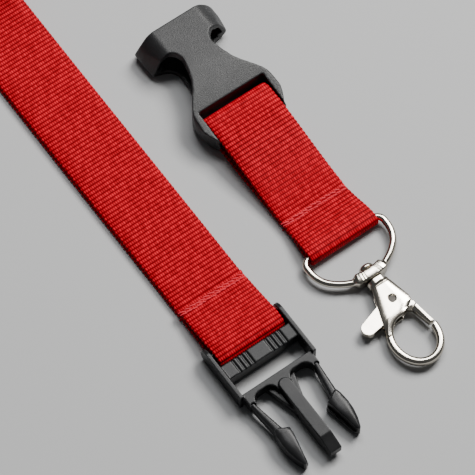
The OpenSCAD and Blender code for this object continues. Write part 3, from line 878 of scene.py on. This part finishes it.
short_sway_wave = 17 * MM
short_drift = short_sway * np.sin(short_along / short_sway_wave + 1.0)
ring_flare = 0.06
ring_flare_reach = 7 * MM
short_flare = ring_flare * np.exp(-((short_line[:, 0] - ring_bar[0]) / ring_flare_reach) ** 2)
short_base = strap_mesh(
    "short_webbing", short_line, short_along, short_y, short_drift, at_seam, short_flare)
short_webbing = grow("short_webbing", short_base, strap_ribs, {
    "Rib Pitch": SHORT_RIB_PITCH,
    "Rib Height": RIB_HEIGHT,
    "Edge Height": EDGE_HEIGHT,
    "Material": red_webbing,
})
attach(short_webbing, "short")
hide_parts("short_strap")
short_stitch_z = short_layer_z[2] + 0.38 * MM
short_seam = sew(
    "short_seam", short_seam_x, short_y, short_stitch_z, UNDER_STITCH_Z, "short", "short_seam_thread")

# ---------------------------------------------------------------------------
# D-ring. Nickel-plated zinc, cast in one piece: a round wire bent into a D
# with a block at the middle of its curve, which the swivel's rivet runs through.
# ---------------------------------------------------------------------------


def nickel_group():
    """Shader group for polished plating: faint clouding and fine scratches."""
    tree, given = new_tree(
        "plating_marks", "ShaderNodeTree",
        {"Place": "Vector", "Bright": "Color", "Clouded": "Color", "Roughness": "Float"},
        {"Color": "Color", "Roughness": "Float", "Height": "Float"})
    cloud = add_node(tree, "ShaderNodeTexNoise", Vector=given["Place"], Scale=300.0, Detail=4.0)
    longer = add_node(
        tree, "ShaderNodeVectorMath", {"operation": "MULTIPLY"}, _0=given["Place"], _1=(0.25, 1.0, 1.0))
    scratch = add_node(tree, "ShaderNodeTexNoise", Vector=longer.outputs[0], Scale=5200.0, Detail=2.0)
    tint = add_node(
        tree, "ShaderNodeMix", {"data_type": "RGBA"}, Factor=cloud.outputs["Fac"], A=given["Bright"],
        B=given["Clouded"])
    patchy = 0.12
    rough = maths(tree, "MULTIPLY", cloud.outputs["Fac"], patchy)
    rough = maths(tree, "ADD", given["Roughness"], rough)
    add_node(
        tree, "NodeGroupOutput", Color=tint.outputs["Result"], Roughness=rough,
        Height=scratch.outputs["Fac"])
    return tree


plating_marks = nickel_group()


def plated(name, bright, clouded, edge, roughness, depth):
    """Plated or bare metal whose colour turns to edge where the surface slopes away from the eye: a
    painted dark reflection of the surroundings.
    """
    material, tree, shader = new_material(name)
    place = tree.nodes.new("ShaderNodeTexCoord")
    marks = add_node(
        tree, "ShaderNodeGroup", {"node_tree": plating_marks}, Place=place.outputs["Object"],
        Bright=(*bright, 1), Clouded=(*clouded, 1), Roughness=roughness)
    bump = add_node(
        tree, "ShaderNodeBump", Height=marks.outputs["Height"], Strength=1.0, Distance=depth)
    # Painted reflection: towards grazing angles the colour turns to the dark edge colour, standing in for
    # dark surroundings seen in the metal.
    facing = add_node(tree, "ShaderNodeLayerWeight", Blend=0.42)
    slope = maths(tree, "POWER", facing.outputs["Facing"], 1.6)
    dark_grazing_reflection = add_node(
        tree, "ShaderNodeMix", {"data_type": "RGBA"}, Factor=slope, A=marks.outputs["Color"],
        B=(*edge, 1))
    set_inputs(
        tree, shader, Base_Color=dark_grazing_reflection.outputs["Result"], Roughness=marks.outputs["Roughness"],
        Normal=bump.outputs[0], Metallic=1.0)
    return material


# The edge colour is the painted dark reflection at grazing angles.
nickel = plated(
    "nickel", bright=(0.70, 0.655, 0.575), clouded=(0.60, 0.555, 0.475), edge=(0.085, 0.07, 0.045),
    roughness=0.12, depth=0.004 * MM)

ring_half = 12.3 * MM
ring_corner = 2.2 * MM
ring_depth = 13.0 * MM
side_radius = 8.2 * MM
ring_swell = 1.6 * MM
side_y = ring_half - side_radius
side_x = ring_depth - side_radius - ring_swell
front_x = side_x + ring_swell / 2 - side_y**2 / (2 * ring_swell)
front_radius = ring_depth - front_x
turn_degrees = math.degrees(math.atan2(side_y, side_x - front_x))
ring_outline = np.concatenate([
    [(0.0, 0.0)],
    arc((ring_corner, ring_half - ring_corner), ring_corner, 180, 90, 14),
    arc((side_x, side_y), side_radius, 90, turn_degrees, 40),
    arc((front_x, 0.0), front_radius, turn_degrees, -turn_degrees, 120),
    arc((side_x, -side_y), side_radius, -turn_degrees, -90, 40),
    arc((ring_corner, ring_corner - ring_half), ring_corner, -90, -180, 14),
    [(0.0, 0.0)],
])
ring_step = 0.12 * MM
ring_path = evenly(ring_outline, ring_step)[0][:-1]
ring_ahead = np.roll(ring_path, -1, 0) - np.roll(ring_path, 1, 0)
ring_ahead /= np.linalg.norm(ring_ahead, axis=1)[:, None]
ring_out = np.stack([-ring_ahead[:, 1], ring_ahead[:, 0]], 1)
from_boss = np.abs(np.arctan2(ring_path[:, 1], ring_path[:, 0] - front_x)) * front_radius
from_boss = np.where(ring_path[:, 0] > side_x, from_boss, ring_depth)


def step_down(x, start, end):
    """Falls smoothly from one to nothing between start and end."""
    t = np.clip((x - start) / (end - start), 0, 1)
    return 1 - t * t * (3 - 2 * t)


boss_share = step_down(from_boss, 3.9 * MM, 5.3 * MM)
boss_crown = step_down(from_boss, 1.7 * MM, 4.6 * MM)
groove_width = 0.16 * MM
groove_depth = 0.16 * MM
groove = np.exp(-((from_boss - 1.9 * MM) / groove_width) ** 2)
groove += np.exp(-((from_boss - 2.6 * MM) / groove_width) ** 2)
boss_half = 1.6 * MM
shoulder = 0.70
crown = 0.30
wide = WIRE_RADIUS + (boss_half - WIRE_RADIUS) * boss_share
tall = WIRE_RADIUS + (ring_high.z / 2 - WIRE_RADIUS) * boss_share * (shoulder + crown * boss_crown)
tall = tall - groove_depth * groove
round_power = 2
block_power = 4
square = round_power + block_power * boss_share
SIDES = 28
round_turn = np.linspace(0, 2 * math.pi, SIDES, endpoint=False)
c, s = np.cos(round_turn), np.sin(round_turn)
power = (round_power / square)[:, None]
section_out = np.sign(c) * np.abs(c) ** power * wide[:, None]
section_up = np.sign(s) * np.abs(s) ** power * tall[:, None]
ring_co = np.zeros((len(ring_path), SIDES, 3))
ring_co[..., 0] = ring_bar[0] + ring_path[:, None, 0] + ring_out[:, None, 0] * section_out
ring_co[..., 1] = short_y + ring_path[:, None, 1] + ring_out[:, None, 1] * section_out
ring_co[..., 2] = ring_bar[1] + section_up
ring_index = np.arange(len(ring_path) * SIDES).reshape(len(ring_path), SIDES)
ring_next = np.roll(ring_index, -1, 0)
ring_quads = np.stack(
    [ring_index, np.roll(ring_index, -1, 1), np.roll(ring_next, -1, 1), ring_next], -1).reshape(-1, 4)
ring_mesh = bpy.data.meshes.new("ring_and_boss")
ring_mesh.from_pydata(ring_co.reshape(-1, 3).tolist(), [], ring_quads.tolist())
face_outwards(ring_mesh)
shade_smooth(ring_mesh)
ring_mesh.materials.append(nickel)
ring_and_boss = link("ring_and_boss", ring_mesh)
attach(ring_and_boss, "ring")
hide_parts("d_ring")

# ---------------------------------------------------------------------------
# Swivel rivet. A turned and plated steel pin with a domed head inside the ring;
# its other end is pressed into the hook, so that the hook turns.
# ---------------------------------------------------------------------------
rivet_low, rivet_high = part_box("swivel_rivet")
rivet_axis = ring_bar[1]
head_radius = 2.1 * MM
head_height = 1.4 * MM
shank_radius = 1.1 * MM
dome_height = head_height * 0.86
rim_round = 0.1 * MM
rim_radius = head_radius * 0.95
dome_steps = 10
RIVET_SIDES = 40
rivet_profile = []
for i in range(dome_steps + 1):
    t = i / dome_steps * math.pi / 2
    rivet_profile.append((rivet_low.x + dome_height * (1 - math.cos(t)), head_radius * math.sin(t)))
rivet_profile += [
    (rivet_low.x + head_height, head_radius),
    (rivet_low.x + head_height + rim_round, rim_radius),
    (rivet_low.x + head_height + rim_round, shank_radius),
    (rivet_high.x, shank_radius),
    (rivet_high.x, 0.0),
]
bm = bmesh.new()
rings = []
for x, r in rivet_profile:
    sides = RIVET_SIDES if r else 1
    turns = [2 * math.pi * k / RIVET_SIDES for k in range(sides)]
    rings.append([
        bm.verts.new((x, short_y + r * math.cos(turn), rivet_axis + r * math.sin(turn)))
        for turn in turns
    ])
for a, b in zip(rings, rings[1:]):
    for k in range(RIVET_SIDES):
        corners = [a[k % len(a)], a[(k + 1) % len(a)], b[(k + 1) % len(b)], b[k % len(b)]]
        unique = [v for i, v in enumerate(corners) if v not in corners[:i]]
        bm.faces.new(unique)
bmesh.ops.recalc_face_normals(bm, faces=bm.faces)
rivet_mesh = bpy.data.meshes.new("rivet_and_head")
bm.to_mesh(rivet_mesh)
bm.free()
shade_smooth(rivet_mesh)
rivet_mesh.materials.append(nickel)
rivet_and_head = link("rivet_and_head", rivet_mesh)
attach(rivet_and_head, "hook")
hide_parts("swivel_rivet")

# ---------------------------------------------------------------------------
# Hook body. Nickel-plated zinc casting with soft edges: a round collar, two
# cheeks with a slot between them, and an open oval ring that ends in the nose.
# ---------------------------------------------------------------------------
boss_from_head = 3.35 * MM
boss_at = (rivet_low.x + boss_from_head, short_y)

# In millimetres from the boss: the body's two sides along it, and the ring's two ellipses.
hook_low_side = ([2.9, 14, 17], [-2.3, -6.4, -7.4])
hook_high_side = ([2.9, 10.4, 11.8, 13, 17], [2.6, 4.2, 4.0, 2.4, 1.5])
body_drop = 0.30
eye_at = (20.5, -1.3)
eye_inner = (6.3, 5.0)
eye_outer = (8.3, 7.1)
wire_drop = 0.82
wire_from = 12.5
wire_fade = 5.5
core_half = 1.0
wire_slimming = 0.28
collar_groove_at = 3.75
collar_groove_width = 0.28
collar_groove_depth = 0.14


def shape_hook(co):
    """Crowns the flat faces: a low dome across the body, and a round wire in the ring."""
    x = (co[:, 0] - boss_at[0]) / MM
    y = (co[:, 1] - boss_at[1]) / MM
    low = np.interp(x, *hook_low_side)
    high = np.interp(x, *hook_high_side)
    across = np.clip(np.abs(2 * y - low - high) / (high - low), 0, 1.1)
    body = 1 - body_drop * across**3
    way_x, way_y = x - eye_at[0], y - eye_at[1]
    turn = np.arctan2(way_y, way_x)
    reach = np.hypot(way_x, way_y)
    inner = 1 / np.hypot(np.cos(turn) / eye_inner[0], np.sin(turn) / eye_inner[1])
    outer = 1 / np.hypot(np.cos(turn) / eye_outer[0], np.sin(turn) / eye_outer[1])
    off = np.clip(np.abs(2 * reach - inner - outer) / (outer - inner), 0, 1)
    wire = np.sqrt(np.clip(1 - wire_drop * off**2.4, 0.05, 1))
    share = np.clip((x - wire_from) / wire_fade, 0, 1)
    share = share * share * (3 - 2 * share)
    flat = np.clip(np.abs(co[:, 2] - rivet_axis) / MM, 0, 2.1)
    slimmer = 1 - share * np.clip(flat - core_half, 0, 1) * wire_slimming
    scale = (body * (1 - share) + wire * share) * slimmer
    in_groove = np.exp(-((x - collar_groove_at) / collar_groove_width) ** 2)
    scale *= 1 - collar_groove_depth * in_groove
    co[:, 2] = rivet_axis + (co[:, 2] - rivet_axis) * scale
    return co


hook_casting = moulded_copy("hook_casting", "hook_body", voxel=0.1 * MM, passes=14, shape=shape_hook)
hook_casting.data.materials.append(nickel)
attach(hook_casting, "hook")
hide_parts("hook_body")

# ---------------------------------------------------------------------------
# Gate. A plated casting that turns on the pin between the cheeks. Its long end
# closes the ring behind the nose, and its short end is the thumb tab.
# ---------------------------------------------------------------------------
# In millimetres from the boss: the bar's outer side along it, and where its chamfer lies.
bar_outer = ([12, 20], [4.3, 5.2])
chamfer_from = 13
chamfer_fade = 1.2
chamfer_inset = 0.8
chamfer_width = 1.1
chamfer_drop = 0.35
bar_side = -3


def shape_gate(co):
    """Chamfers the inner side of the bar that closes the ring."""
    x = (co[:, 0] - boss_at[0]) / MM
    y = (co[:, 1] - boss_at[1]) / MM
    edge = np.interp(x, *bar_outer)
    share = np.clip((x - chamfer_from) / chamfer_fade, 0, 1) * (y > bar_side)
    side = np.clip((edge - y - chamfer_inset) / chamfer_width, 0, 1) * share
    co[:, 2] = rivet_axis + (co[:, 2] - rivet_axis) * (1 - chamfer_drop * side)
    return co


gate_casting = moulded_copy("gate_casting", "gate_lever", voxel=0.09 * MM, passes=9, shape=shape_gate)
gate_casting.data.materials.append(nickel)
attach(gate_casting, "gate")
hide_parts("gate_lever")

# ---------------------------------------------------------------------------
# Gate pin and spring. The pin is dull steel, pressed through both cheeks and
# set a little below them. The spring of fine steel wire sits round it.
# ---------------------------------------------------------------------------
pin_steel = plated(
    "pin_steel", bright=(0.07, 0.065, 0.06), clouded=(0.04, 0.037, 0.033), edge=(0.02, 0.02, 0.018),
    roughness=0.45, depth=0.006 * MM)
spring_steel = plated(
    "spring_steel", bright=(0.40, 0.39, 0.37), clouded=(0.30, 0.29, 0.28), edge=(0.10, 0.10, 0.09),
    roughness=0.28, depth=0.004 * MM)
for node, finish in (("gate_pin", pin_steel), ("gate_spring", spring_steel)):
    cad_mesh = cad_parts[node].data
    cad_mesh.materials.clear()
    cad_mesh.materials.append(finish)
